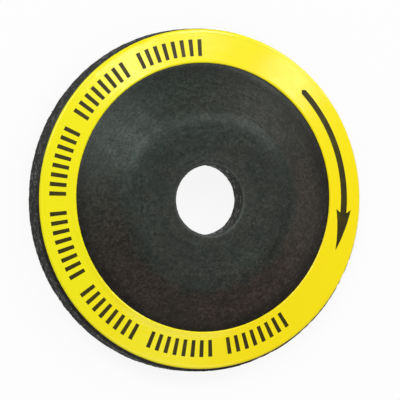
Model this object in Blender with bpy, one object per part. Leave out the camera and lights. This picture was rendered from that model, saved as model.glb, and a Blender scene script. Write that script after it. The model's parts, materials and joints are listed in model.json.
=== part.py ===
"""A small depressed-centre grinding disc, modelled as its two real pieces.

The abrasive body is pressed in one piece: a flat hub round the bore, a sloping shoulder, and a slightly conical
rim whose far side is the working face. The label ring is bonded to the back of the rim.

Units are metres and +Z is up, along the axis of the bore. The disc lies on its working face, so the back of the
hub and the label look up. The origin is on the axis, in the plane that the disc rests on.
"""

import math

import bmesh
import bpy
from mathutils import Vector

# Abrasive body, across the disc
DISC_DIAMETER = 0.050
BORE_DIAMETER = 0.010
HUB_DIAMETER = 0.0244
RIM_WIDTH = 0.0054
REST_LAND_WIDTH = 0.0010

# Abrasive body, through the disc
WALL = 0.0040
HUB_OFFSET = 0.0046
RIM_ANGLE = math.radians(8.0)

# Roundings of the body's section, from the bore's back edge outwards and round to its front edge
BORE_EDGE_ROUND = 0.0004
SHOULDER_ROUND = 0.0050
FOOT_ROUND = 0.0030
RIM_BACK_ROUND = 0.00015
RIM_FACE_ROUND = 0.0004
FACE_FOOT_ROUND = 0.0070
RECESS_CORNER_ROUND = 0.0010

# Label ring
LABEL_THICKNESS = 0.0002
LABEL_GAP = 0.0003
LABEL_INNER_MARGIN = 0.0004
LABEL_OUTER_MARGIN = 0.0002

# Fineness of the facets
TURN_STEPS = 96
ARC_TOLERANCE = 0.000006
FEWEST_ARC_STEPS = 3
SHARP_EDGE_ANGLE = math.radians(35.0)

# Finishes: colour, roughness, metallic
ABRASIVE_FINISH = ((0.040, 0.041, 0.038, 1.0), 0.72, 0.0)
LABEL_FINISH = ((0.88, 0.80, 0.03, 1.0), 0.45, 0.0)


def clear_objects():
    """Empty the scene, keeping the file open."""
    for item in list(bpy.data.objects):
        bpy.data.objects.remove(item, do_unlink=True)


def finish_material(name, finish):
    """A plain Principled material in the given colour, roughness and metallic value."""
    colour, roughness, metallic = finish
    material = bpy.data.materials.new(name)
    material.use_nodes = True
    shader = material.node_tree.nodes["Principled BSDF"]
    shader.inputs["Base Color"].default_value = colour
    shader.inputs["Roughness"].default_value = roughness
    shader.inputs["Metallic"].default_value = metallic
    material.diffuse_color = colour
    return material


def line_direction(start, end):
    """Unit vector from one section point to the next."""
    return (end - start).normalized()


def meeting_point(point_a, direction_a, point_b, direction_b):
    """Point where two lines of the section plane cross."""
    across = direction_a.x * direction_b.y - direction_a.y * direction_b.x
    apart = point_b - point_a
    along = (apart.x * direction_b.y - apart.y * direction_b.x) / across
    return point_a + direction_a * along


def rounded_corner(before, corner, after, radius):
    """Points of the arc that rounds one corner of the section, from its first tangent point to its last."""
    towards_before = line_direction(corner, before)
    towards_after = line_direction(corner, after)
    opening = math.acos(max(-1.0, min(1.0, towards_before.dot(towards_after))))
    turn = math.pi - opening
    setback = radius * math.tan(turn / 2.0)
    centre_distance = radius / math.cos(turn / 2.0)
    centre = corner + (towards_before + towards_after).normalized() * centre_distance
    first = corner + towards_before * setback - centre
    last = corner + towards_after * setback - centre
    start_angle = math.atan2(first.y, first.x)
    sweep = math.atan2(first.x * last.y - first.y * last.x, first.dot(last))
    widest_step = 2.0 * math.acos(1.0 - ARC_TOLERANCE / radius)
    steps = max(FEWEST_ARC_STEPS, math.ceil(turn / widest_step))
    angles = [start_angle + sweep * step / steps for step in range(steps + 1)]
    return [centre + Vector((math.cos(angle), math.sin(angle))) * radius for angle in angles]


def rounded_section(corners):
    """Closed outline through (point, radius) corners, each rounded by its own arc, or sharp at radius 0."""
    outline = []
    for index, (corner, radius) in enumerate(corners):
        if radius == 0.0:
            outline.append(corner)
            continue
        before = corners[index - 1][0]
        after = corners[(index + 1) % len(corners)][0]
        outline.extend(rounded_corner(before, corner, after, radius))
    return outline


def rim_inner_radius():
    """Radius at which the slope meets the rim, one rim width in from the edge."""
    return DISC_DIAMETER / 2.0 - RIM_WIDTH


def face_line_height(radius):
    """Height of the conical working face at a radius: it meets the resting plane at the rest land's inner edge."""
    rest_land_inner = DISC_DIAMETER / 2.0 - REST_LAND_WIDTH
    return (rest_land_inner - radius) * math.tan(RIM_ANGLE)


def rim_back_height(radius):
    """Height of the rim's back at a radius, one wall above the working face."""
    return face_line_height(radius) + WALL / math.cos(RIM_ANGLE)


def hub_back_height():
    """Height of the hub's flat back, the top of the disc."""
    return rim_back_height(DISC_DIAMETER / 2.0) + HUB_OFFSET


def body_corners():
    """Corners of the body's section with their roundings: along the back, down the rim, and back along the face."""
    disc_radius = DISC_DIAMETER / 2.0
    bore_radius = BORE_DIAMETER / 2.0
    hub_back = hub_back_height()

    # The back: hub, shoulder, slope, foot and rim
    shoulder = Vector((HUB_DIAMETER / 2.0, hub_back))
    foot = Vector((rim_inner_radius(), rim_back_height(rim_inner_radius())))
    rim_back = Vector((disc_radius, rim_back_height(disc_radius)))

    # The face runs one wall below the slope, so its two corners lie where the shifted lines cross
    slope = line_direction(shoulder, foot)
    slope_face_point = foot + Vector((slope.y, -slope.x)) * WALL
    rest_land_inner = Vector((disc_radius - REST_LAND_WIDTH, 0.0))
    rim_direction = Vector((-math.cos(RIM_ANGLE), math.sin(RIM_ANGLE)))
    recess_floor_point = Vector((bore_radius, hub_back - WALL))
    flat = Vector((1.0, 0.0))
    face_foot = meeting_point(rest_land_inner, rim_direction, slope_face_point, slope)
    recess_corner = meeting_point(recess_floor_point, flat, slope_face_point, slope)

    return [
        (Vector((bore_radius, hub_back)), BORE_EDGE_ROUND),
        (shoulder, SHOULDER_ROUND),
        (foot, FOOT_ROUND),
        (rim_back, RIM_BACK_ROUND),
        (Vector((disc_radius, 0.0)), RIM_FACE_ROUND),
        (rest_land_inner, 0.0),
        (face_foot, FACE_FOOT_ROUND),
        (recess_corner, RECESS_CORNER_ROUND),
        (recess_floor_point, BORE_EDGE_ROUND),
    ]


def label_corners():
    """Corners of the label's thin section, parallel to the back of the rim and the label gap above it."""
    inner_radius = rim_inner_radius() + LABEL_INNER_MARGIN
    outer_radius = DISC_DIAMETER / 2.0 - LABEL_OUTER_MARGIN
    underside = LABEL_GAP / math.cos(RIM_ANGLE)
    printed_side = (LABEL_GAP + LABEL_THICKNESS) / math.cos(RIM_ANGLE)
    places = (
        (inner_radius, printed_side),
        (outer_radius, printed_side),
        (outer_radius, underside),
        (inner_radius, underside),
    )
    return [(Vector((radius, rim_back_height(radius) + height)), 0.0) for radius, height in places]


def turned_piece(name, corners, material):
    """Turn a section once round the axis of the bore, into one closed piece of its own."""
    mesh = bpy.data.meshes.new(name)
    turning = bmesh.new()
    section = [turning.verts.new((point.x, 0.0, point.y)) for point in rounded_section(corners)]
    edges = [turning.edges.new((vertex, section[(index + 1) % len(section)]))
             for index, vertex in enumerate(section)]
    bmesh.ops.spin(
        turning,
        geom=section + edges,
        cent=(0.0, 0.0, 0.0),
        axis=(0.0, 0.0, 1.0),
        angle=math.tau,
        steps=TURN_STEPS,
        use_merge=True,
    )
    bmesh.ops.recalc_face_normals(turning, faces=turning.faces)
    turning.to_mesh(mesh)
    turning.free()
    mesh.materials.append(material)
    mesh.shade_smooth()
    mesh.set_sharp_from_angle(angle=SHARP_EDGE_ANGLE)
    piece = bpy.data.objects.new(name, mesh)
    bpy.context.scene.collection.objects.link(piece)
    return piece


def build_disc():
    """Model the grinding disc's two pieces."""
    abrasive = finish_material("abrasive", ABRASIVE_FINISH)
    label = finish_material("label", LABEL_FINISH)
    turned_piece("abrasive_body", body_corners(), abrasive)
    turned_piece("label_ring", label_corners(), label)


clear_objects()
build_disc()
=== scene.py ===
"""Finish of a small depressed-centre grinding disc: pressed grit, a coated yellow label and black print.

The disc lies on its working face, with +Z up along its bore. +X and +Y are the right and the top of the
picture. All sizes are in metres.
"""

import json
import math
import random

import bmesh
import bpy
from bpy.props import FloatProperty, FloatVectorProperty, IntProperty, PointerProperty
from mathutils import Euler, Matrix, Vector, noise


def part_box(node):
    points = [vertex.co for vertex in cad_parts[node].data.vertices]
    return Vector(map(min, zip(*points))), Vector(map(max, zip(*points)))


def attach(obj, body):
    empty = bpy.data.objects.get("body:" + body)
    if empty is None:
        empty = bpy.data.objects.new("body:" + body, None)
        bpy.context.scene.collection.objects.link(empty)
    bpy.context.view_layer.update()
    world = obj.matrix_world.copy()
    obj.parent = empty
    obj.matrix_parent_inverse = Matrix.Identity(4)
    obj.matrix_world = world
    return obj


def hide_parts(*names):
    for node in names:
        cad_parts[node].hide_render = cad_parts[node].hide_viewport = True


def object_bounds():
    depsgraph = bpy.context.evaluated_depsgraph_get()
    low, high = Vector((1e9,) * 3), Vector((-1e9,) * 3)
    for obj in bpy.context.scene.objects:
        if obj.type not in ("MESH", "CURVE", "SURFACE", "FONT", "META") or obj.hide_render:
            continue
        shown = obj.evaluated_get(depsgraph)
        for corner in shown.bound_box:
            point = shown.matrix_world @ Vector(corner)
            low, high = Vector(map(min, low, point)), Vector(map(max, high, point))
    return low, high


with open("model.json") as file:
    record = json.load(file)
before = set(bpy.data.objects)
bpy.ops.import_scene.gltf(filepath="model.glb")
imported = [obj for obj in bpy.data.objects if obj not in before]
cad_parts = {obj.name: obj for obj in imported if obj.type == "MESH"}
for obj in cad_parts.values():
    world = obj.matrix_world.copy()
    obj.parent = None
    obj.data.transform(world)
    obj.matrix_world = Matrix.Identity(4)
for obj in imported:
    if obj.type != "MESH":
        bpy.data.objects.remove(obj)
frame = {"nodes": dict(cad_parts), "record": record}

bl_info = {
    "name": "Grinding Disc Finish",
    "version": (1, 0, 0),
    "blender": (4, 5, 0),
    "location": "3D View > Sidebar > Grinding Disc",
    "description": "Models and finishes a small depressed-centre grinding disc round its fixed solids",
    "category": "Object",
}

# What the solids say
SOLID_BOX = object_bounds()
BODY_MESH = frame["nodes"]["abrasive_body"].data
SEAT_HEIGHTS = {seat["name"]: seat["pos_m"][2] for seat in frame["record"]["mounts"]}
DISC_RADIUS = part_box("abrasive_body")[1].x
BORE_RADIUS = min(vertex.co.xy.length for vertex in BODY_MESH.vertices)
HUB_BACK_HEIGHT = SEAT_HEIGHTS["backing_flange_seat"]
WALL = HUB_BACK_HEIGHT - SEAT_HEIGHTS["clamp_nut_seat"]

# How open the grit is: 0 is a smooth pressed skin and 1 is bare grain
SKIN_COARSENESS = 0.0
BORE_COARSENESS = 0.75
RECESS_COARSENESS = 0.55
FACE_COARSENESS = 1.0

# Share of the point spacing that smooth skin uses, and what open grit takes off it
SMOOTH_SPACING = 1.3
OPEN_SPACING_CUT = 0.6
FEWEST_ARC_STEPS = 4

# A surface is working face where its normal points further down than this
FACE_NORMAL = -0.3

# Relief: features to a metre, how deep they start, their share of the depth, and for the crumbled
# places the fractal's dimension, lacunarity and octaves
SWELLS_PER_METRE = 600.0
GRAINS_PER_METRE = 2600.0
GRAIN_STEEPNESS = 1.6
GRAIN_DEPTH_SHARE = 0.65
PITS_PER_METRE = 700.0
PIT_THRESHOLD = 0.15
PIT_DEPTH_SHARE = 0.7
CLOTH_DEPTH_SHARE = 0.7
CLOTH_WAVERS_PER_METRE = 150.0
CLOTH_WAVER = 0.0002
CRUMBLES_PER_METRE = 650.0
CRUMBLE_FRACTAL = (0.8, 2.0, 3)
CRUMBLE_THRESHOLD = 0.12
CRUMBLE_GAIN = 2.4
CRUMBLE_REACH = 0.0006

# Smallest and largest half length of a grain, as a share of a middling one's
GRAIN_SIZE_RANGE = (0.55, 1.35)

# Label: steps round and across, how far its edges are pressed down, and how ragged they are
LABEL_TURN_STEPS = 360
LABEL_CROSS_STEPS = 20
LABEL_EDGE_DROP = 0.35
LABEL_RAGGED_DEPTH = 0.00002
LABEL_RAGGED_SCALE = 40.0

# Arrow: width of the tail against the shaft's, roundness of its end, reach of the barbs, tip width
ARROW_TAIL_SHARE = 0.85
ARROW_TAIL_ROUNDING = 55.0
ARROW_TAIL_START = 0.05
ARROW_BARB_REACH = 0.16
ARROW_TIP_WIDTH = 0.00005

# How much paler thin ink is
THIN_INK_GAIN = 1.8

# Sides of the disc towards which painted light and shade shift its hue: brown shade on the lower side, a
# greener highlight tint on the upper left, and warmer light on the label's lower right
PAINTED_SHADE_SIDE = (0.26, -0.97)
PAINTED_SHEEN_SIDE = (-0.74, 0.67)
LABEL_PAINTED_WARM_LIGHT_SIDE = (0.85, -0.53)

# Drops below the hub's back over which the slope's painted brown shade and the foot's painted dark shade set
# in
SLOPE_SHADE_DROPS = (0.0003, 0.0010)
FOOT_SHADE_DROPS = (0.0027, 0.0035)
DROP_WAVER = 0.0004

# Radii over which the bore's surround and its edge are paler, partly as rubbed wear and partly as painted
# highlight, and the drops where the edge is
RUBBED_AND_HIGHLIGHT_RADII = (BORE_RADIUS + 0.0030, BORE_RADIUS + 0.0004)
WORN_AND_HIGHLIGHT_EDGE_RADII = (BORE_RADIUS + 0.00055, BORE_RADIUS + 0.0003)
WORN_AND_HIGHLIGHT_EDGE_DROPS = (0.00045, 0.0002)

# Stage: soft boxes by direction from the disc, diameter and share of the lamp power
SOFT_BOXES = {
    "upper_left_soft_box": ((-0.33, 0.45, 0.83), 0.42, 0.82),
    "top_soft_box": ((0.33, 0.41, 0.85), 0.14, 0.18),
    "right_soft_box": ((0.66, 0.46, 0.59), 0.30, 0.40),
    "low_right_soft_box": ((0.93, -0.12, 0.34), 0.30, 0.05),
    "low_left_soft_box": ((-0.88, 0.25, 0.40), 0.30, 0.10),
    "lower_soft_box": ((0.20, -0.52, 0.83), 0.40, 0.16),
    "top_lamp": ((0.20, 0.235, 0.951), 0.12, 0.08),
    "right_lamp": ((0.489, 0.199, 0.849), 0.09, 0.055),
}
SOFT_BOX_DISTANCE = 0.8
FLOOR_SIZE = 1.5
FLOOR_COLOUR = (0.85, 0.85, 0.85, 1.0)
SENSOR_WIDTH = 36.0

# Settings that all colours share
COLOUR = {"size": 4, "min": 0.0, "max": 1.0, "subtype": "COLOR"}


class DiscBodyLook(bpy.types.PropertyGroup):
    """Section, surface and colours of the abrasive body"""

    hub_diameter: FloatProperty(
        name="Hub diameter", description="Where the hub's flat back, carried on, meets the slope",
        default=0.0244, unit="LENGTH")
    rim_width: FloatProperty(
        name="Rim width", description="From the foot of the slope to the edge of the disc",
        default=0.0054, unit="LENGTH")
    rim_angle: FloatProperty(
        name="Rim angle", description="Fall of the conical rim towards the edge",
        default=math.radians(8.0), subtype="ANGLE")
    rest_land_width: FloatProperty(
        name="Rest land", description="Flat at the edge of the working face that the disc rests on",
        default=0.0010, unit="LENGTH")
    bore_edge_round: FloatProperty(
        name="Bore edge round", description="Rounding of the bore's ends", default=0.0004, unit="LENGTH")
    shoulder_round: FloatProperty(
        name="Shoulder round", description="Rounding between the hub's back and the slope",
        default=0.0050, unit="LENGTH")
    foot_round: FloatProperty(
        name="Foot round", description="Hollow between the slope and the back of the rim",
        default=0.0030, unit="LENGTH")
    rim_back_round: FloatProperty(
        name="Rim back round", description="Rounding of the rim's edge beside the label",
        default=0.00015, unit="LENGTH")
    rim_face_round: FloatProperty(
        name="Rim face round", description="Rounding of the rim's edge at the working face",
        default=0.0004, unit="LENGTH")
    face_foot_round: FloatProperty(
        name="Face foot round", description="Rounding of the working face where it meets the recess",
        default=0.0070, unit="LENGTH")
    recess_corner_round: FloatProperty(
        name="Recess corner round", description="Hollow between the recess floor and its wall",
        default=0.0010, unit="LENGTH")
    point_spacing: FloatProperty(
        name="Point spacing", description="Spacing of the section's points", default=0.00030, unit="LENGTH")
    turn_steps: IntProperty(
        name="Turn steps", description="Steps of the section round the axis", default=480, min=48)
    skin_relief: FloatProperty(
        name="Skin relief", description="Depth of the back's soft swell", default=0.00003, unit="LENGTH")
    grit_relief: FloatProperty(
        name="Grit relief", description="Depth of the open grit on the edge and the working face",
        default=0.00011, unit="LENGTH")
    cloth_pitch: FloatProperty(
        name="Cloth pitch", description="Distance between the strands of the glass cloth in the face",
        default=0.0026, unit="LENGTH")
    strand_width: FloatProperty(
        name="Strand width", description="Width of one glass strand", default=0.0010, unit="LENGTH")
    chip_depth: FloatProperty(
        name="Chip depth", description="Depth of the crumbled places along the rim's two edges",
        default=0.00010, unit="LENGTH")
    resin_colour: FloatVectorProperty(
        name="Resin", description="Dark resin in the grit", default=(0.0062, 0.0066, 0.0056, 1.0), **COLOUR)
    bloom_colour: FloatVectorProperty(
        name="Bloom", description="Grey-green bloom on the pressed skin",
        default=(0.041, 0.047, 0.038, 1.0), **COLOUR)
    # Painted highlight tint: this greener bloom lies towards the upper left, where the lamps' sheen falls on
    # the slope
    painted_sheen_bloom_colour: FloatVectorProperty(
        name="Damp bloom", description="Greener bloom on the side where it lies thickest",
        default=(0.026, 0.056, 0.044, 1.0), **COLOUR)
    # Painted shade as well as brown blotches: this brown also lies down the lower side of the slope
    brown_blotch_and_shade_colour: FloatVectorProperty(
        name="Slope", description="Browner resin on the slope, where the press dragged the grit",
        default=(0.074, 0.046, 0.037, 1.0), **COLOUR)
    # Painted shade: this dark brown darkens the slope's foot beside the label and the resin down the lower
    # slope
    painted_foot_shade_colour: FloatVectorProperty(
        name="Foot", description="Dark brown resin squeezed down the slope and out at its foot",
        default=(0.0078, 0.0040, 0.0030, 1.0), **COLOUR)
    strand_colour: FloatVectorProperty(
        name="Strand", description="Resin-soaked glass strands showing faintly through the working face",
        default=(0.085, 0.075, 0.055, 1.0), **COLOUR)
    grain_colour: FloatVectorProperty(
        name="Grain", description="Brown-grey abrasive grain showing through",
        default=(0.070, 0.064, 0.056, 1.0), **COLOUR)
    sheen_colour: FloatVectorProperty(
        name="Sheen", description="Tint of the resin's reflections, a little green",
        default=(0.84, 1.0, 0.93, 1.0), **COLOUR)
    # Partly wear and partly painted highlight: the paler colour on the bore's edge
    worn_and_highlight_colour: FloatVectorProperty(
        name="Worn edge", description="Paler grey-green where the bore's edge is rubbed",
        default=(0.080, 0.088, 0.076, 1.0), **COLOUR)


class DiscGrainLook(bpy.types.PropertyGroup):
    """Single grains that stand out of the edge and the working face"""

    grain_size: FloatProperty(
        name="Grain size", description="Half the length of a middling grain", default=0.00015, unit="LENGTH")
    edge_grains: IntProperty(
        name="Edge grains", description="Grains on the disc's edge", default=2600, min=0)
    face_grains: IntProperty(
        name="Face grains", description="Grains on the working face", default=5200, min=0)
    seed: IntProperty(name="Seed", description="Start of the scatter's random draws", default=27)


class DiscLabelLook(bpy.types.PropertyGroup):
    """The coated paper ring on the back of the rim"""

    inner_radius: FloatProperty(
        name="Inner radius", description="Radius of the label's hole", default=0.01955, unit="LENGTH")
    outer_radius: FloatProperty(
        name="Outer radius", description="Radius of the label's outer edge", default=0.02472, unit="LENGTH")
    thickness: FloatProperty(
        name="Thickness", description="Paper, coating and adhesive together", default=0.00014, unit="LENGTH")
    hole_shift: FloatVectorProperty(
        name="Hole shift", description="How far the label's hole lies off the disc's axis",
        default=(0.00035, 0.00040), size=2, unit="LENGTH")
    edge_shift: FloatVectorProperty(
        name="Edge shift", description="How far the label's outer edge lies off the disc's axis",
        default=(0.00018, 0.00016), size=2, unit="LENGTH")
    lemon_colour: FloatVectorProperty(
        name="Lemon", description="Main yellow of the label", default=(0.92, 0.85, 0.004, 1.0), **COLOUR)
    # Painted warm light as well as thicker coating: this deeper yellow also lies towards the label's lower
    # right
    warm_coat_and_light_colour: FloatVectorProperty(
        name="Warm yellow", description="Deeper yellow where the coating lies thicker",
        default=(0.97, 0.785, 0.001, 1.0), **COLOUR)


class DiscPrintLook(bpy.types.PropertyGroup):
    """Black print on the label: one arrow and a scale of plain marks"""

    ink_thickness: FloatProperty(
        name="Ink thickness", description="Height of ink above the label", default=0.000015, unit="LENGTH")
    print_shift: FloatVectorProperty(
        name="Print shift", description="How far the print's centre lies off the disc's axis",
        default=(0.0, 0.00027), size=2, unit="LENGTH")
    arrow_radius: FloatProperty(
        name="Arrow radius", description="Radius of the arrow's middle line", default=0.0223, unit="LENGTH")
    arrow_tail: FloatProperty(
        name="Arrow tail", description="Direction of the arrow's tail, from +X towards +Y",
        default=math.radians(45.0), subtype="ANGLE")
    arrow_tip: FloatProperty(
        name="Arrow tip", description="Direction of the arrow's tip, from +X towards +Y",
        default=math.radians(-19.8), subtype="ANGLE")
    shaft_width: FloatProperty(
        name="Shaft width", description="Width of the shaft at its head", default=0.00100, unit="LENGTH")
    head_length: FloatProperty(
        name="Head length", description="Length of the arrow's head", default=0.0052, unit="LENGTH")
    head_width: FloatProperty(
        name="Head width", description="Width of the head across its barbs", default=0.0023, unit="LENGTH")
    marks_start: FloatProperty(
        name="Marks start", description="Direction of the first mark, from +X towards +Y",
        default=math.radians(-53.5), subtype="ANGLE")
    marks_sweep: FloatProperty(
        name="Marks sweep", description="Angle that all groups of marks cover, going clockwise",
        default=math.radians(217.0), subtype="ANGLE")
    group_gap: FloatProperty(
        name="Group gap", description="Bare angle between two groups of marks",
        default=math.radians(6.0), subtype="ANGLE")
    group_count: IntProperty(name="Groups", description="Groups of marks", default=7, min=1)
    marks_per_group: IntProperty(
        name="Marks in a group", description="Marks in each group", default=8, min=2)
    mark_width: FloatProperty(
        name="Mark width", description="Width of one mark", default=0.00060, unit="LENGTH")
    mark_inner_radius: FloatProperty(
        name="Mark inner radius", description="Radius where the marks start", default=0.02065, unit="LENGTH")
    mark_outer_radius: FloatProperty(
        name="Mark outer radius", description="Radius where the marks end", default=0.0231, unit="LENGTH")
    ink_colour: FloatVectorProperty(
        name="Ink", description="Olive-black ink", default=(0.033, 0.026, 0.0006, 1.0), **COLOUR)


class DiscStageLook(bpy.types.PropertyGroup):
    """Camera, lamps and floor"""

    camera_distance: FloatProperty(
        name="Camera distance", description="From the disc to the camera", default=1.0, unit="LENGTH")
    camera_tilt: FloatProperty(
        name="Camera tilt", description="Angle between the disc's axis and the line of sight",
        default=math.radians(19.5), subtype="ANGLE")
    camera_heading: FloatProperty(
        name="Camera heading", description="Side that the camera leans to, from +X towards +Y",
        default=math.radians(180.0), subtype="ANGLE")
    disc_share: FloatProperty(
        name="Disc share", description="Share of the picture's width that the disc fills",
        default=0.86, min=0.1, max=1.0)
    room_light: FloatProperty(
        name="Room light", description="Strength of the even light from all sides", default=0.31, min=0.0)
    lamp_power: FloatProperty(
        name="Lamp power", description="Power of the main soft box, in watts", default=3.3, min=0.0)
    floor_glow: FloatProperty(
        name="Floor glow", description="How far the floor is drawn to white where it is seen",
        default=0.90, min=0.0, max=1.0)


# Objects

def new_object(name, data):
    """Put data into the scene as an object."""
    made = bpy.data.objects.new(name, data)
    bpy.context.scene.collection.objects.link(made)
    return made


def mesh_object(name, shape, material):
    """Put a bmesh into the scene as an object in one material, and free it."""
    mesh = bpy.data.meshes.new(name)
    shape.to_mesh(mesh)
    shape.free()
    mesh.materials.append(material)
    return new_object(name, mesh)


# Section of the body

def meeting_point(point_a, direction_a, point_b, direction_b):
    """Point where two lines of the section plane cross."""
    across = direction_a.cross(direction_b)
    return point_a + direction_a * ((point_b - point_a).cross(direction_b) / across)


def rounded_corner(before, corner, after, radius, spacing):
    """Points of the arc that rounds one corner of the section, at the given spacing."""
    towards_before = (before - corner).normalized()
    towards_after = (after - corner).normalized()
    turn = math.pi - towards_before.angle(towards_after)
    setback = radius * math.tan(turn / 2.0)
    centre_distance = radius / math.cos(turn / 2.0)
    centre = corner + (towards_before + towards_after).normalized() * centre_distance
    first = corner + towards_before * setback - centre
    last = corner + towards_after * setback - centre
    start_angle = math.atan2(first.y, first.x)
    sweep = math.atan2(first.cross(last), first.dot(last))
    steps = max(FEWEST_ARC_STEPS, math.ceil(radius * turn / spacing))
    angles = [start_angle + sweep * step / steps for step in range(steps + 1)]
    return [centre + Vector((math.cos(angle), math.sin(angle))) * radius for angle in angles]


def rim_back_height(look, radius):
    """Height of the conical back of the rim, carried on to any radius."""
    rest_land_inner = DISC_RADIUS - look.rest_land_width
    return (rest_land_inner - radius) * math.tan(look.rim_angle) + WALL / math.cos(look.rim_angle)


def body_corners(look):
    """Corners of the section, each with its rounding and the coarseness of the run that follows it."""
    rim_inner_radius = DISC_RADIUS - look.rim_width
    shoulder = Vector((look.hub_diameter / 2.0, HUB_BACK_HEIGHT))
    foot = Vector((rim_inner_radius, rim_back_height(look, rim_inner_radius)))
    slope = (foot - shoulder).normalized()
    slope_face_point = foot + Vector((slope.y, -slope.x)) * WALL
    rest_land_inner = Vector((DISC_RADIUS - look.rest_land_width, 0.0))
    rim_direction = Vector((-math.cos(look.rim_angle), math.sin(look.rim_angle)))
    recess_floor_point = Vector((BORE_RADIUS, HUB_BACK_HEIGHT - WALL))
    flat = Vector((1.0, 0.0))
    return [
        (Vector((BORE_RADIUS, HUB_BACK_HEIGHT)), look.bore_edge_round, SKIN_COARSENESS),
        (shoulder, look.shoulder_round, SKIN_COARSENESS),
        (foot, look.foot_round, SKIN_COARSENESS),
        (Vector((DISC_RADIUS, rim_back_height(look, DISC_RADIUS))),
         look.rim_back_round, FACE_COARSENESS),
        (Vector((DISC_RADIUS, 0.0)), look.rim_face_round, FACE_COARSENESS),
        (rest_land_inner, 0.0, FACE_COARSENESS),
        (meeting_point(rest_land_inner, rim_direction, slope_face_point, slope),
         look.face_foot_round, FACE_COARSENESS),
        (meeting_point(recess_floor_point, flat, slope_face_point, slope),
         look.recess_corner_round, RECESS_COARSENESS),
        (recess_floor_point, look.bore_edge_round, BORE_COARSENESS),
    ]


def body_outline(look):
    """Closed outline of the section, outwards from the bore's back edge: rows of point, coarseness."""
    corners = body_corners(look)
    rows = []
    for index, (corner, radius, coarseness) in enumerate(corners):
        before, _, coarseness_before = corners[index - 1]
        after = corners[(index + 1) % len(corners)][0]
        arc = [corner]
        if radius > 0.0:
            arc = rounded_corner(before, corner, after, radius, look.point_spacing)
        for step, point in enumerate(arc):
            share = step / max(1, len(arc) - 1)
            rows.append((point, coarseness_before + (coarseness - coarseness_before) * share))
    outline = []
    for index, (point, coarseness) in enumerate(rows):
        following, coarseness_after = rows[(index + 1) % len(rows)]
        spacing = look.point_spacing * (SMOOTH_SPACING - OPEN_SPACING_CUT * coarseness)
        steps = max(1, math.ceil((following - point).length / spacing))
        for step in range(steps):
            share = step / steps
            outline.append((point.lerp(following, share),
                            coarseness + (coarseness_after - coarseness) * share))
    return outline


def back_profile(look):
    """Points of the back alone, from the bore out to the rim's edge."""
    points = [point for point, _ in body_outline(look)]
    turning_point = max(range(len(points)), key=lambda index: points[index].x)
    return points[:turning_point + 1]


def height_on_profile(profile, radius):
    """Height of the disc's back at a radius."""
    for inner, outer in zip(profile, profile[1:]):
        if inner.x <= radius < outer.x:
            share = (radius - inner.x) / (outer.x - inner.x)
            return inner.y + (outer.y - inner.y) * share
    raise RuntimeError(f"the back of the disc has no point at radius {radius}")


# Pieces

def finished_piece(name, shape, material, replaced=None, smooth=True):
    """Make a piece of a bmesh: at the origin, in its material, riding on the disc."""
    piece = mesh_object(name, shape, material)
    if smooth:
        piece.data.shade_smooth()
    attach(piece, "root")
    if replaced:
        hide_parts(replaced)


def spin_outline(shape, vertices, steps):
    """Spin a closed loop of vertices once round the disc's axis."""
    edges = [shape.edges.new((vertex, vertices[(index + 1) % len(vertices)]))
             for index, vertex in enumerate(vertices)]
    bmesh.ops.spin(shape, geom=vertices + edges, cent=(0.0, 0.0, 0.0), axis=(0.0, 0.0, 1.0),
                   angle=math.tau, steps=steps, use_merge=True)
    bmesh.ops.recalc_face_normals(shape, faces=shape.faces)


def strand_height(distance, pitch, width):
    """Height of a row of round strands at a distance along it, from 0 between them to 1 on top."""
    off_centre = abs((distance / pitch) % 1.0 - 0.5) * pitch
    return max(0.0, 1.0 - (2.0 * off_centre / width) ** 2)


def cloth_height(place, normal, look):
    """Height of the glass cloth under the working face, from 0 between strands to 1 on top of one."""
    if normal.z > FACE_NORMAL:
        return 0.0
    waver = CLOTH_WAVER * noise.noise(place * CLOTH_WAVERS_PER_METRE)
    return max(strand_height(place.x + waver, look.cloth_pitch, look.strand_width),
               strand_height(place.y - waver, look.cloth_pitch, look.strand_width))


def relief(place, normal, coarseness, cloth, look):
    """How far the surface lies under its nominal form at a place."""
    swell = 0.5 + 0.5 * noise.noise(place * SWELLS_PER_METRE)
    depth = look.skin_relief * swell
    grit = 1.0 - min(1.0, GRAIN_STEEPNESS * noise.voronoi(place * GRAINS_PER_METRE)[0][0])
    pits = max(0.0, noise.noise(place * PITS_PER_METRE) - PIT_THRESHOLD)
    depth += coarseness * look.grit_relief * (GRAIN_DEPTH_SHARE * (1.0 - grit) + PIT_DEPTH_SHARE * pits)
    if normal.z < FACE_NORMAL:
        depth += coarseness * look.grit_relief * CLOTH_DEPTH_SHARE * (1.0 - cloth)
    from_edge = math.hypot(DISC_RADIUS - place.xy.length,
                           min(abs(place.z), abs(place.z - rim_back_height(look, DISC_RADIUS))))
    crumble = max(0.0, noise.fractal(place * CRUMBLES_PER_METRE, *CRUMBLE_FRACTAL) - CRUMBLE_THRESHOLD)
    depth += look.chip_depth * crumble * CRUMBLE_GAIN * max(0.0, 1.0 - from_edge / CRUMBLE_REACH)
    return depth


class GRINDING_DISC_OT_abrasive_body(bpy.types.Operator):
    """Model the pressed body: smooth on its back, open grit on its edge and working face"""

    bl_idname = "grinding_disc.abrasive_body"
    bl_label = "Abrasive Body"

    def execute(self, context):
        look = context.scene.grinding_disc_body
        shape = bmesh.new()
        coarse = shape.verts.layers.float.new("coarseness")
        strand = shape.verts.layers.float.new("strand")
        vertices = []
        for point, coarseness in body_outline(look):
            vertex = shape.verts.new((point.x, 0.0, point.y))
            vertex[coarse] = coarseness
            vertices.append(vertex)
        spin_outline(shape, vertices, look.turn_steps)
        shape.normal_update()
        for vertex in shape.verts:
            vertex[strand] = cloth_height(vertex.co, vertex.normal, look)
            depth = relief(vertex.co, vertex.normal, vertex[coarse], vertex[strand], look)
            vertex.co -= vertex.normal * depth
        finished_piece("pressed_body", shape, abrasive_material(look),
                       replaced="abrasive_body")
        return {"FINISHED"}


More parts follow.
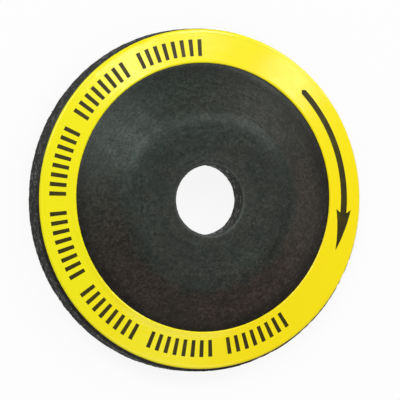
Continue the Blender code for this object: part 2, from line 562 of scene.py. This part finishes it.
def scatter_grains(name, places, look, material):
    """Set angular grains into the surface at (point, outward normal) places, with their tips on it."""
    draw = random.Random(look.seed + len(places))
    collected = bmesh.new()
    batch_size = 150
    for start in range(0, len(places), batch_size):
        batch = bmesh.new()
        for point, normal in places[start:start + batch_size]:
            sizes = [look.grain_size * draw.uniform(*GRAIN_SIZE_RANGE) for _ in range(3)]
            turn = Euler([draw.uniform(0.0, math.tau) for _ in range(3)]).to_matrix().to_4x4()
            seat = point - normal * max(sizes)
            frame_of_grain = Matrix.Translation(seat) @ turn @ Matrix.Diagonal((*sizes, 1.0))
            bmesh.ops.create_icosphere(batch, subdivisions=1, radius=1.0, matrix=frame_of_grain)
        mesh = bpy.data.meshes.new("batch")
        batch.to_mesh(mesh)
        batch.free()
        collected.from_mesh(mesh)
        bpy.data.meshes.remove(mesh)
    finished_piece(name, collected, material, smooth=False)


class GRINDING_DISC_OT_grains(bpy.types.Operator):
    """Scatter single grains over the disc's edge and working face"""

    bl_idname = "grinding_disc.grains"
    bl_label = "Standing Grains"

    def execute(self, context):
        look = context.scene.grinding_disc_grains
        body = context.scene.grinding_disc_body
        draw = random.Random(look.seed)
        material = grain_material(body)
        inset = look.grain_size * GRAIN_SIZE_RANGE[1]
        low = inset + body.rim_face_round
        high = rim_back_height(body, DISC_RADIUS) - inset
        edge_places = []
        for _ in range(look.edge_grains):
            around = draw.uniform(0.0, math.tau)
            outward = Vector((math.cos(around), math.sin(around), 0.0))
            height = Vector((0.0, 0.0, draw.uniform(low, high)))
            edge_places.append((outward * DISC_RADIUS + height, outward))
        scatter_grains("edge_grains", edge_places, look, material)

        rows = []
        outline = body_outline(body)
        for (point, coarseness), (following, _) in zip(outline, outline[1:]):
            run = following - point
            normal = Vector((-run.y, run.x)).normalized()
            if normal.y < FACE_NORMAL and coarseness > RECESS_COARSENESS:
                rows.append((point, run, normal))
        face_places = []
        weights = [point.x * run.length for point, run, _ in rows]
        for point, run, normal in draw.choices(rows, weights=weights, k=look.face_grains):
            spot = point + run * draw.random()
            around = Matrix.Rotation(draw.uniform(0.0, math.tau), 3, "Z")
            face_places.append((around @ Vector((spot.x, 0.0, spot.y)),
                                around @ Vector((normal.x, 0.0, normal.y))))
        scatter_grains("face_grains", face_places, look, material)
        return {"FINISHED"}


def off_centre_radius(radius, shift, direction):
    """Distance from the disc's axis to a circle whose centre is shifted, in a direction."""
    along = shift[0] * math.cos(direction) + shift[1] * math.sin(direction)
    across = shift[0] ** 2 + shift[1] ** 2 - along * along
    return along + math.sqrt(radius ** 2 - across)


def label_outline(shape):
    """Closed outline of the label: x is 1 plus the share across it, z the share of its thickness."""
    shares = [index / LABEL_CROSS_STEPS for index in range(LABEL_CROSS_STEPS + 1)]
    over = [(share, 1.0 - LABEL_EDGE_DROP if share in (0.0, 1.0) else 1.0) for share in shares]
    under = [(share, 0.0) for share in reversed(shares)]
    return [shape.verts.new((1.0 + share, 0.0, lift)) for share, lift in over + under]


class GRINDING_DISC_OT_label(bpy.types.Operator):
    """Lay the coated paper ring on the back of the rim"""

    bl_idname = "grinding_disc.label"
    bl_label = "Label Ring"

    def execute(self, context):
        look = context.scene.grinding_disc_label
        profile = back_profile(context.scene.grinding_disc_body)
        shape = bmesh.new()
        spin_outline(shape, label_outline(shape), LABEL_TURN_STEPS)
        for vertex in shape.verts:
            direction = math.atan2(vertex.co.y, vertex.co.x)
            share = vertex.co.xy.length - 1.0
            inner = off_centre_radius(look.inner_radius, look.hole_shift, direction)
            outer = off_centre_radius(look.outer_radius, look.edge_shift, direction)
            around = Vector((math.cos(direction), math.sin(direction), share))
            ragged = LABEL_RAGGED_DEPTH * noise.noise(around * LABEL_RAGGED_SCALE)
            radius = inner + (outer - inner) * share + ragged
            height = height_on_profile(profile, radius) + look.thickness * vertex.co.z
            vertex.co = Vector((radius * math.cos(direction), radius * math.sin(direction), height))
        bmesh.ops.recalc_face_normals(shape, faces=shape.faces)
        finished_piece("label_sheet", shape, label_material(look), replaced="label_ring")
        return {"FINISHED"}


def print_patch(shape, length_steps, width_steps):
    """A slab of ink to be bent onto the label: x and y from 0 to 1, and z 0 under and 1 on top."""
    made = bmesh.ops.create_grid(shape, x_segments=length_steps, y_segments=width_steps, size=0.5,
                                 matrix=Matrix.Translation((0.5, 0.5, 0.0)))
    faces = {face for vertex in made["verts"] for face in vertex.link_faces}
    raised = bmesh.ops.extrude_face_region(shape, geom=list(faces), use_keep_orig=True)
    top = [item for item in raised["geom"] if isinstance(item, bmesh.types.BMVert)]
    bmesh.ops.translate(shape, verts=top, vec=(0.0, 0.0, 1.0))
    return made["verts"] + top


class LabelSurface:
    """The printed side of the label, for placing ink by direction and radius."""

    def __init__(self, scene):
        self.profile = back_profile(scene.grinding_disc_body)
        self.shift = Vector(scene.grinding_disc_print.print_shift)
        self.lowest = scene.grinding_disc_label.thickness * 0.5
        self.highest = scene.grinding_disc_label.thickness + scene.grinding_disc_print.ink_thickness

    def place(self, direction, radius, layer):
        """Point by direction and radius: layer 0 lies inside the paper and layer 1 on top of the ink."""
        spot = Vector((radius * math.cos(direction), radius * math.sin(direction))) + self.shift
        lift = self.lowest + (self.highest - self.lowest) * layer
        return Vector((spot.x, spot.y, height_on_profile(self.profile, spot.length) + lift))


class GRINDING_DISC_OT_arrow(bpy.types.Operator):
    """Print the slim arrow that shows which way the disc turns"""

    bl_idname = "grinding_disc.arrow"
    bl_label = "Rotation Arrow"

    def execute(self, context):
        look = context.scene.grinding_disc_print
        surface = LabelSurface(context.scene)
        head_angle = look.head_length / look.arrow_radius
        head_base = look.arrow_tip + head_angle
        shape = bmesh.new()

        # The shaft thins a little towards its tail, and its tail end is round
        for vertex in print_patch(shape, length_steps=56, width_steps=2):
            along, across = vertex.co.x, vertex.co.y - 0.5
            direction = look.arrow_tail + (head_base - look.arrow_tail) * along
            blunt = min(1.0, math.sqrt(along * ARROW_TAIL_ROUNDING + ARROW_TAIL_START))
            taper = ARROW_TAIL_SHARE + (1.0 - ARROW_TAIL_SHARE) * along
            width = look.shaft_width * taper * blunt
            vertex.co = surface.place(direction, look.arrow_radius + across * width, vertex.co.z)

        # The head narrows to its tip, and its barbs reach back past its base
        for vertex in print_patch(shape, length_steps=14, width_steps=6):
            along, across = vertex.co.x, vertex.co.y - 0.5
            swept = along - ARROW_BARB_REACH * 2.0 * abs(across) * (1.0 - along)
            direction = head_base - head_angle * swept
            width = look.head_width * (1.0 - along) + ARROW_TIP_WIDTH
            vertex.co = surface.place(direction, look.arrow_radius + across * width, vertex.co.z)
        bmesh.ops.recalc_face_normals(shape, faces=shape.faces)
        finished_piece("rotation_arrow", shape, ink_material(look), smooth=False)
        return {"FINISHED"}


class GRINDING_DISC_OT_marks(bpy.types.Operator):
    """Print the groups of plain radial marks"""

    bl_idname = "grinding_disc.marks"
    bl_label = "Scale Marks"

    def execute(self, context):
        look = context.scene.grinding_disc_print
        surface = LabelSurface(context.scene)
        gaps = look.group_gap * (look.group_count - 1)
        group_sweep = (look.marks_sweep - gaps) / look.group_count
        mark_angle = look.mark_width / look.arrow_radius
        pitch = (group_sweep - mark_angle) / (look.marks_per_group - 1)
        shape = bmesh.new()
        for group in range(look.group_count):
            group_start = look.marks_start - group * (group_sweep + look.group_gap)
            for mark in range(look.marks_per_group):
                start = group_start - mark * pitch
                for vertex in print_patch(shape, length_steps=2, width_steps=5):
                    direction = start - mark_angle * vertex.co.x
                    depth = (look.mark_outer_radius - look.mark_inner_radius) * vertex.co.y
                    vertex.co = surface.place(direction, look.mark_inner_radius + depth, vertex.co.z)
        bmesh.ops.recalc_face_normals(shape, faces=shape.faces)
        finished_piece("scale_marks", shape, ink_material(look), smooth=False)
        return {"FINISHED"}


# Shader building

class Value:
    """A shader value: reckoning with it makes Math nodes in its node tree."""

    def __init__(self, socket):
        self.socket = socket
        self.tree = socket.id_data

    def calculate(self, operation, other):
        """The result of a Math node that this value enters first."""
        return add_node(self.tree, "ShaderNodeMath", {0: self, 1: other}, operation=operation)[0]

    def __add__(self, other):
        return self.calculate("ADD", other)

    def __sub__(self, other):
        return self.calculate("SUBTRACT", other)

    def __rsub__(self, other):
        return add_node(self.tree, "ShaderNodeMath", {0: other, 1: self}, operation="SUBTRACT")[0]

    def __mul__(self, other):
        return self.calculate("MULTIPLY", other)


class Outputs:
    """A node's outputs as values, by name or number."""

    def __init__(self, node):
        self.sockets = node.outputs

    def __getitem__(self, key):
        return Value(self.sockets[key])


def feed(socket, value):
    """Link a value to an input, or set the input to a plain number or colour."""
    if isinstance(value, Value):
        value.tree.links.new(value.socket, socket)
    else:
        socket.default_value = value


def add_node(tree, kind, inputs, **settings):
    """Make a node, set it up and feed its inputs, and give its outputs."""
    made = tree.nodes.new(kind)
    for name, setting in settings.items():
        setattr(made, name, setting)
    for key, value in inputs.items():
        feed(made.inputs[key], value)
    return Outputs(made)


def rescale(value, low, high, new_low=0.0, new_high=1.0):
    """A value carried from one range to another, and kept inside it."""
    ends = {"From Min": low, "From Max": high, "To Min": new_low, "To Max": new_high}
    return add_node(value.tree, "ShaderNodeMapRange", {"Value": value, **ends})["Result"]


def spread(share, at_none, at_full):
    """A share from 0 to 1 carried to the range between two values."""
    return rescale(share, 0.0, 1.0, at_none, at_full)


def blend_colours(share, first, second):
    """Two colours mixed by a share."""
    return add_node(share.tree, "ShaderNodeMix", {0: share, 6: first, 7: second}, data_type="RGBA")[2]


def noise_value(vector, scale, detail=3.0, roughness=0.55):
    """A Noise Texture's value, about 0.5 on average."""
    inputs = {"Vector": vector, "Scale": scale, "Detail": detail, "Roughness": roughness}
    return add_node(vector.tree, "ShaderNodeTexNoise", inputs)["Fac"]


def vector_result(operation, inputs, output):
    """A Vector Math node's result."""
    return add_node(inputs[0].tree, "ShaderNodeVectorMath", inputs, operation=operation)[output]


def distance_from_axis(place):
    """How far a place lies from the disc's axis."""
    flat = vector_result("MULTIPLY", {0: place, 1: (1.0, 1.0, 0.0)}, "Vector")
    return vector_result("LENGTH", {0: flat}, "Value")


def share_towards(place, direction):
    """How far a place lies towards one side of the disc: 1 at its edge there, -1 at the far edge."""
    towards = (direction[0] / DISC_RADIUS, direction[1] / DISC_RADIUS, 0.0)
    return vector_result("DOT_PRODUCT", {0: place, 1: towards}, "Value")


def add_bump(shader, height, distance):
    """Give the shader a bumped normal of the given height in metres."""
    inputs = {"Distance": distance, "Strength": 1.0, "Height": height}
    feed(shader["Normal"], add_node(height.tree, "ShaderNodeBump", inputs)["Normal"])


def effect_group(name, inputs, outputs):
    """A shader node group with named sockets: the outputs of its first node, and its last node."""
    tree = bpy.data.node_groups.new(name, "ShaderNodeTree")
    new_socket = tree.interface.new_socket
    new_socket(name="Vector", in_out="INPUT", socket_type="NodeSocketVector")
    for title, default in inputs.items():
        number = new_socket(name=title, in_out="INPUT", socket_type="NodeSocketFloat")
        number.default_value = default
    for title in outputs:
        new_socket(name=title, in_out="OUTPUT", socket_type="NodeSocketFloat")
    return Outputs(tree.nodes.new("NodeGroupInput")), tree.nodes.new("NodeGroupOutput")


def finished_group(end, **results):
    """Link a group's results to its outputs, and give the group."""
    for name, result in results.items():
        feed(end.inputs[name], result)
    return end.id_data


def grit_group(name):
    """Grains and pores: how light each grain is, which ones glint, and their height."""
    start, end = effect_group(name, {"Grains Per Metre": 4000.0, "Glint Share": 0.06},
                              ("Tone", "Glint", "Height"))
    vector, density = start["Vector"], start["Grains Per Metre"]
    cells = add_node(vector.tree, "ShaderNodeTexVoronoi", {"Vector": vector, "Scale": density})
    parts = add_node(vector.tree, "ShaderNodeSeparateColor", {0: cells["Color"]})
    fine = noise_value(vector, density * 1.7, detail=2.0)
    threshold = 1.0 - start["Glint Share"]
    dome = rescale(cells["Distance"], 0.0, 0.8, 1.0, 0.0)
    return finished_group(end, Tone=parts["Red"] * rescale(fine, 0.3, 0.7, 0.6, 1.0),
                          Glint=parts["Green"].calculate("GREATER_THAN", threshold),
                          Height=dome * spread(parts["Blue"], 0.4, 1.0))


def bloom_group(name):
    """Cloudy unevenness at two scales, from 0 to 1, and a second, finer one for a change of hue."""
    start, end = effect_group(name, {"Clouds Per Metre": 120.0, "Close Share": 0.35},
                              ("Cloud", "Blotch"))
    vector, density = start["Vector"], start["Clouds Per Metre"]
    broad = noise_value(vector, density, detail=2.0)
    close = noise_value(vector, density * 5.0, detail=4.0)
    mixed = broad + (close - broad) * start["Close Share"]
    blotch = noise_value(vector, density * 3.3, detail=2.0)
    return finished_group(end, Cloud=rescale(mixed, 0.36, 0.64), Blotch=rescale(blotch, 0.38, 0.66))


def ring_group(name):
    """Faint concentric lines left by the turned mould, a little broken."""
    start, end = effect_group(name, {"Lines Per Metre": 900.0}, ("Line",))
    vector = start["Vector"]
    turns = distance_from_axis(vector) * start["Lines Per Metre"]
    waver = spread(noise_value(vector, 90.0, detail=2.0), -0.5, 0.5)
    along_radius = add_node(vector.tree, "ShaderNodeCombineXYZ", {"X": turns + waver})
    lines = noise_value(along_radius[0], 1.0, detail=3.0, roughness=0.6)
    return finished_group(end, Line=rescale(lines, 0.3, 0.7))


EFFECTS = {"Grit": grit_group, "Bloom": bloom_group, "Mould Lines": ring_group}


def place_group(name, vector, **values):
    """Put a node group, made on first use, into a material with its own values, and give its outputs."""
    group = bpy.data.node_groups.get(name) or EFFECTS[name](name)
    inputs = {title.replace("_", " ").title(): value for title, value in values.items()}
    return add_node(vector.tree, "ShaderNodeGroup", {"Vector": vector, **inputs}, node_tree=group)


def new_material(name, specular):
    """A material with a Principled shader, that shader's inputs, and its Object coordinates."""
    material = bpy.data.materials.new(name)
    material.use_nodes = True
    tree = material.node_tree
    shader = tree.nodes["Principled BSDF"].inputs
    shader["Specular IOR Level"].default_value = specular
    return material, shader, add_node(tree, "ShaderNodeTexCoord", {})["Object"]


def abrasive_material(look):
    """Pressed resin and grit: a close dark skin on the back, and open grain where coarseness is high."""
    material, shader, place = new_material("pressed_grit", specular=0.3)
    shader["Specular Tint"].default_value = look.sheen_colour
    coarse, strand = (add_node(place.tree, "ShaderNodeAttribute", {}, attribute_name=name)["Fac"]
                      for name in ("coarseness", "strand"))
    fine_grit = place_group("Grit", place, grains_per_metre=5200.0, glint_share=0.05)
    open_grit = place_group("Grit", place, grains_per_metre=2600.0, glint_share=0.16)
    bloom = place_group("Bloom", place, clouds_per_metre=115.0, close_share=0.55)
    cloud = bloom["Cloud"]
    line = place_group("Mould Lines", place, lines_per_metre=850.0)["Line"]
    drop = HUB_BACK_HEIGHT - add_node(place.tree, "ShaderNodeSeparateXYZ", {0: place})["Z"]
    radius = distance_from_axis(place)

    # Painted shade: the slope is browner and its foot darker, both most of all on the lower side, away from
    # the lamps
    uneven_drop = drop + spread(cloud, -DROP_WAVER, DROP_WAVER)
    shade_side = share_towards(place, PAINTED_SHADE_SIDE)
    slope_shade_share = rescale(uneven_drop, *SLOPE_SHADE_DROPS) * rescale(shade_side, -0.9, 0.7, 0.05, 0.95)
    foot_shade_share = rescale(uneven_drop, *FOOT_SHADE_DROPS, 0.0, 0.95) * rescale(shade_side, -0.7, 0.1, 0.45, 1.0)

    # The skin is a bloom over resin, broken up by the grit and by the mould's lines. Painted light and shade
    # go into it too: a greener highlight tint on the upper left, brown shade and darker resin down the
    # slope, and dark shade at the foot
    drift = spread(cloud, 0.24, 0.66) * spread(line, 0.7, 1.3)
    skin_tone = drift * (spread(fine_grit["Tone"], 0.4, 1.3) * spread(open_grit["Tone"], 0.35, 1.8))
    blotch_and_shade_share = (bloom["Blotch"] * 0.3).calculate("MAXIMUM", slope_shade_share)
    # Painted highlight tint: greener towards the upper left
    painted_sheen_share = rescale(share_towards(place, PAINTED_SHEEN_SIDE), 0.15, 0.80)
    bloom_and_painted_light = blend_colours(painted_sheen_share, look.bloom_colour, look.painted_sheen_bloom_colour)
    bloom_and_painted_light = blend_colours(blotch_and_shade_share, bloom_and_painted_light, look.brown_blotch_and_shade_colour)
    resin = blend_colours(slope_shade_share, look.resin_colour, look.painted_foot_shade_colour)
    skin = blend_colours(skin_tone, resin, bloom_and_painted_light)
    skin = blend_colours(foot_shade_share, skin, look.painted_foot_shade_colour)

    # Grains glint through the skin, and show paler round the bore, partly as flange wear and partly as
    # painted highlight
    rubbed = rescale(radius, *RUBBED_AND_HIGHLIGHT_RADII, 0.0, 0.36)
    specks_and_bore_highlight = fine_grit["Glint"] * 0.3 + open_grit["Glint"] * 0.12 + rubbed * fine_grit["Tone"]
    skin = blend_colours(specks_and_bore_highlight, skin, look.grain_colour)

    # Open grit shows its grains, and the strands of the glass cloth on the working face
    grit = blend_colours(open_grit["Tone"] * 0.6, look.resin_colour, look.grain_colour)
    grit = blend_colours(strand * (cloud * 0.5), grit, look.strand_colour)
    pressed = blend_colours(coarse, skin, grit)

    # The edge of the bore is paler, partly as wear and partly as a painted highlight on the edge
    worn_and_highlight_share = rescale(radius, *WORN_AND_HIGHLIGHT_EDGE_RADII) * rescale(drop, *WORN_AND_HIGHLIGHT_EDGE_DROPS)
    worn_and_highlight_share *= spread(cloud, 0.25, 0.80)
    feed(shader["Base Color"], blend_colours(worn_and_highlight_share, pressed, look.worn_and_highlight_colour))

    skin_rough = spread(fine_grit["Tone"], 0.45, 0.33) + spread(cloud, 0.04, -0.04)
    grit_rough = spread(open_grit["Glint"], 0.9, 0.4)
    feed(shader["Roughness"], skin_rough + (grit_rough - skin_rough) * coarse)

    skin_height = fine_grit["Height"] * 0.11 + open_grit["Height"] * 0.10 + line * 0.28
    add_bump(shader, skin_height + open_grit["Height"] * coarse, distance=0.00009)
    return material


def grain_material(look):
    """Single grains: dark brown-grey crystal, shinier than the resin round them."""
    material, shader, place = new_material("standing_grain", specular=0.4)
    grit = place_group("Grit", place, grains_per_metre=3300.0, glint_share=0.2)
    tone = spread(grit["Tone"], 0.05, 0.9)
    feed(shader["Base Color"], blend_colours(tone, look.resin_colour, look.grain_colour))
    feed(shader["Roughness"], spread(grit["Glint"], 0.65, 0.38))
    add_bump(shader, noise_value(place, 9000.0), distance=0.00002)
    return material


def label_material(look):
    """Coated yellow paper that shows the grit under it as a soft unevenness."""
    material, shader, place = new_material("coated_yellow_paper", specular=0.42)
    cloud = place_group("Bloom", place, clouds_per_metre=60.0)["Cloud"]
    grit = place_group("Grit", place, grains_per_metre=1900.0, glint_share=0.05)
    # Painted warm light: the yellow deepens towards the lower right, on top of the coating's random
    # unevenness
    drift = rescale(share_towards(place, LABEL_PAINTED_WARM_LIGHT_SIDE), -1.0, 1.0, -0.3, 0.7)
    coat_and_light_warmth = rescale(cloud * 0.6 + drift, 0.0, 1.0)
    feed(shader["Base Color"], blend_colours(coat_and_light_warmth, look.lemon_colour, look.warm_coat_and_light_colour))
    feed(shader["Roughness"], rescale(noise_value(place, 900.0), 0.3, 0.7, 0.11, 0.17))
    swell = noise_value(place, 700.0, detail=2.0)
    add_bump(shader, grit["Height"] * 0.45 + swell, distance=0.000011)
    return material


def ink_material(look):
    """Olive-black ink, a little duller than the paper under it."""
    name = "print_ink"
    if name in bpy.data.materials:
        return bpy.data.materials[name]
    material, shader, place = new_material(name, specular=0.25)
    cloud = place_group("Bloom", place, clouds_per_metre=400.0)["Cloud"]
    thin = tuple(min(1.0, channel * THIN_INK_GAIN) for channel in look.ink_colour[:3]) + (1.0,)
    feed(shader["Base Color"], blend_colours(rescale(cloud, 0.45, 1.0), look.ink_colour, thin))
    feed(shader["Roughness"], spread(cloud, 0.42, 0.30))
    add_bump(shader, noise_value(place, 2600.0), distance=0.00001)
    return material


# Stage

def seen_share(tree, strength):
    """A strength for rays that see the surface: from the camera, in a reflection or through glass."""
    path = add_node(tree, "ShaderNodeLightPath", {})
    seen = path["Is Camera Ray"].calculate("MAXIMUM", path["Is Glossy Ray"])
    return seen.calculate("MAXIMUM", path["Is Transmission Ray"]) * strength


def floor_material(glow):
    """White floor, drawn most of the way to white where it is seen, so that a soft shadow stays."""
    material = bpy.data.materials.new("white_floor")
    material.use_nodes = True
    tree = material.node_tree
    tree.nodes.remove(tree.nodes["Principled BSDF"])
    paint = add_node(tree, "ShaderNodeBsdfDiffuse", {"Color": FLOOR_COLOUR})
    light = add_node(tree, "ShaderNodeEmission", {})
    shares = {"Fac": seen_share(tree, glow), 1: paint[0], 2: light[0]}
    mix = add_node(tree, "ShaderNodeMixShader", shares)
    feed(tree.nodes["Material Output"].inputs["Surface"], mix[0])
    return material


def soft_box(name, direction, size, power):
    """A round area lamp that looks at the disc from a direction."""
    data = bpy.data.lights.new(name, "AREA")
    data.shape = "DISK"
    data.size = size
    data.energy = power
    lamp = new_object(name, data)
    towards = Vector(direction).normalized()
    lamp.location = towards * SOFT_BOX_DISTANCE
    lamp.rotation_euler = towards.to_track_quat("Z", "Y").to_euler()


class GRINDING_DISC_OT_stage(bpy.types.Operator):
    """Set the floor, lamps, room light and camera round the disc"""

    bl_idname = "grinding_disc.stage"
    bl_label = "Stage"

    def execute(self, context):
        look = context.scene.grinding_disc_stage
        scene = context.scene
        scene.view_settings.view_transform = "Standard"

        shape = bmesh.new()
        bmesh.ops.create_grid(shape, x_segments=1, y_segments=1, size=FLOOR_SIZE)
        floor = mesh_object("floor", shape, floor_material(look.floor_glow))

        world = bpy.data.worlds.new("room")
        scene.world = world
        world.use_nodes = True
        background = world.node_tree.nodes["Background"].inputs
        background["Color"].default_value = (1.0, 1.0, 1.0, 1.0)
        background["Strength"].default_value = look.room_light

        for name, (direction, size, share) in SOFT_BOXES.items():
            soft_box(name, direction, size, look.lamp_power * share)

        low, high = SOLID_BOX
        centre = (low + high) / 2.0
        sideways = Vector((math.cos(look.camera_heading), math.sin(look.camera_heading), 0.0))
        sight = sideways * math.sin(look.camera_tilt) + Vector((0.0, 0.0, math.cos(look.camera_tilt)))
        data = bpy.data.cameras.new("camera")
        data.sensor_width = SENSOR_WIDTH
        data.lens = SENSOR_WIDTH * look.camera_distance * look.disc_share / (2.0 * DISC_RADIUS)
        camera = new_object("camera", data)
        camera.location = centre + sight * look.camera_distance
        up = Vector((0.0, 1.0, 0.0))
        right = up.cross(sight).normalized()
        turned_up = sight.cross(right)
        camera.rotation_euler = Matrix((right, turned_up, sight)).transposed().to_euler()
        scene.camera = camera
        return {"FINISHED"}


class GRINDING_DISC_PT_sidebar(bpy.types.Panel):
    """Sizes, colours and pieces of the grinding disc"""

    bl_idname = "GRINDING_DISC_PT_sidebar"
    bl_label = "Grinding Disc"
    bl_space_type = "VIEW_3D"
    bl_region_type = "UI"
    bl_category = "Grinding Disc"

    def draw(self, context):
        for operator in PIECE_OPERATORS:
            self.layout.operator(operator.bl_idname)
        for name in LOOKS:
            look = getattr(context.scene, name)
            box = self.layout.box()
            for setting in look.bl_rna.properties:
                if not setting.is_readonly and setting.identifier != "name":
                    box.prop(look, setting.identifier)


LOOKS = {
    "grinding_disc_body": DiscBodyLook,
    "grinding_disc_grains": DiscGrainLook,
    "grinding_disc_label": DiscLabelLook,
    "grinding_disc_print": DiscPrintLook,
    "grinding_disc_stage": DiscStageLook,
}
PIECE_OPERATORS = (
    GRINDING_DISC_OT_stage,
    GRINDING_DISC_OT_abrasive_body,
    GRINDING_DISC_OT_grains,
    GRINDING_DISC_OT_label,
    GRINDING_DISC_OT_arrow,
    GRINDING_DISC_OT_marks,
)
CLASSES = (*LOOKS.values(), *PIECE_OPERATORS, GRINDING_DISC_PT_sidebar)


def register():
    """Register the classes and hang the settings on the scene."""
    for item in CLASSES:
        bpy.utils.register_class(item)
    for name, look in LOOKS.items():
        setattr(bpy.types.Scene, name, PointerProperty(type=look))


def unregister():
    """Take the settings and the classes away again."""
    for name in LOOKS:
        delattr(bpy.types.Scene, name)
    for item in reversed(CLASSES):
        bpy.utils.unregister_class(item)


def main():
    """Build every piece and the stage."""
    register()
    bpy.ops.grinding_disc.stage()
    bpy.ops.grinding_disc.abrasive_body()
    bpy.ops.grinding_disc.grains()
    bpy.ops.grinding_disc.label()
    bpy.ops.grinding_disc.arrow()
    bpy.ops.grinding_disc.marks()


if __name__ == "__main__":
    main()
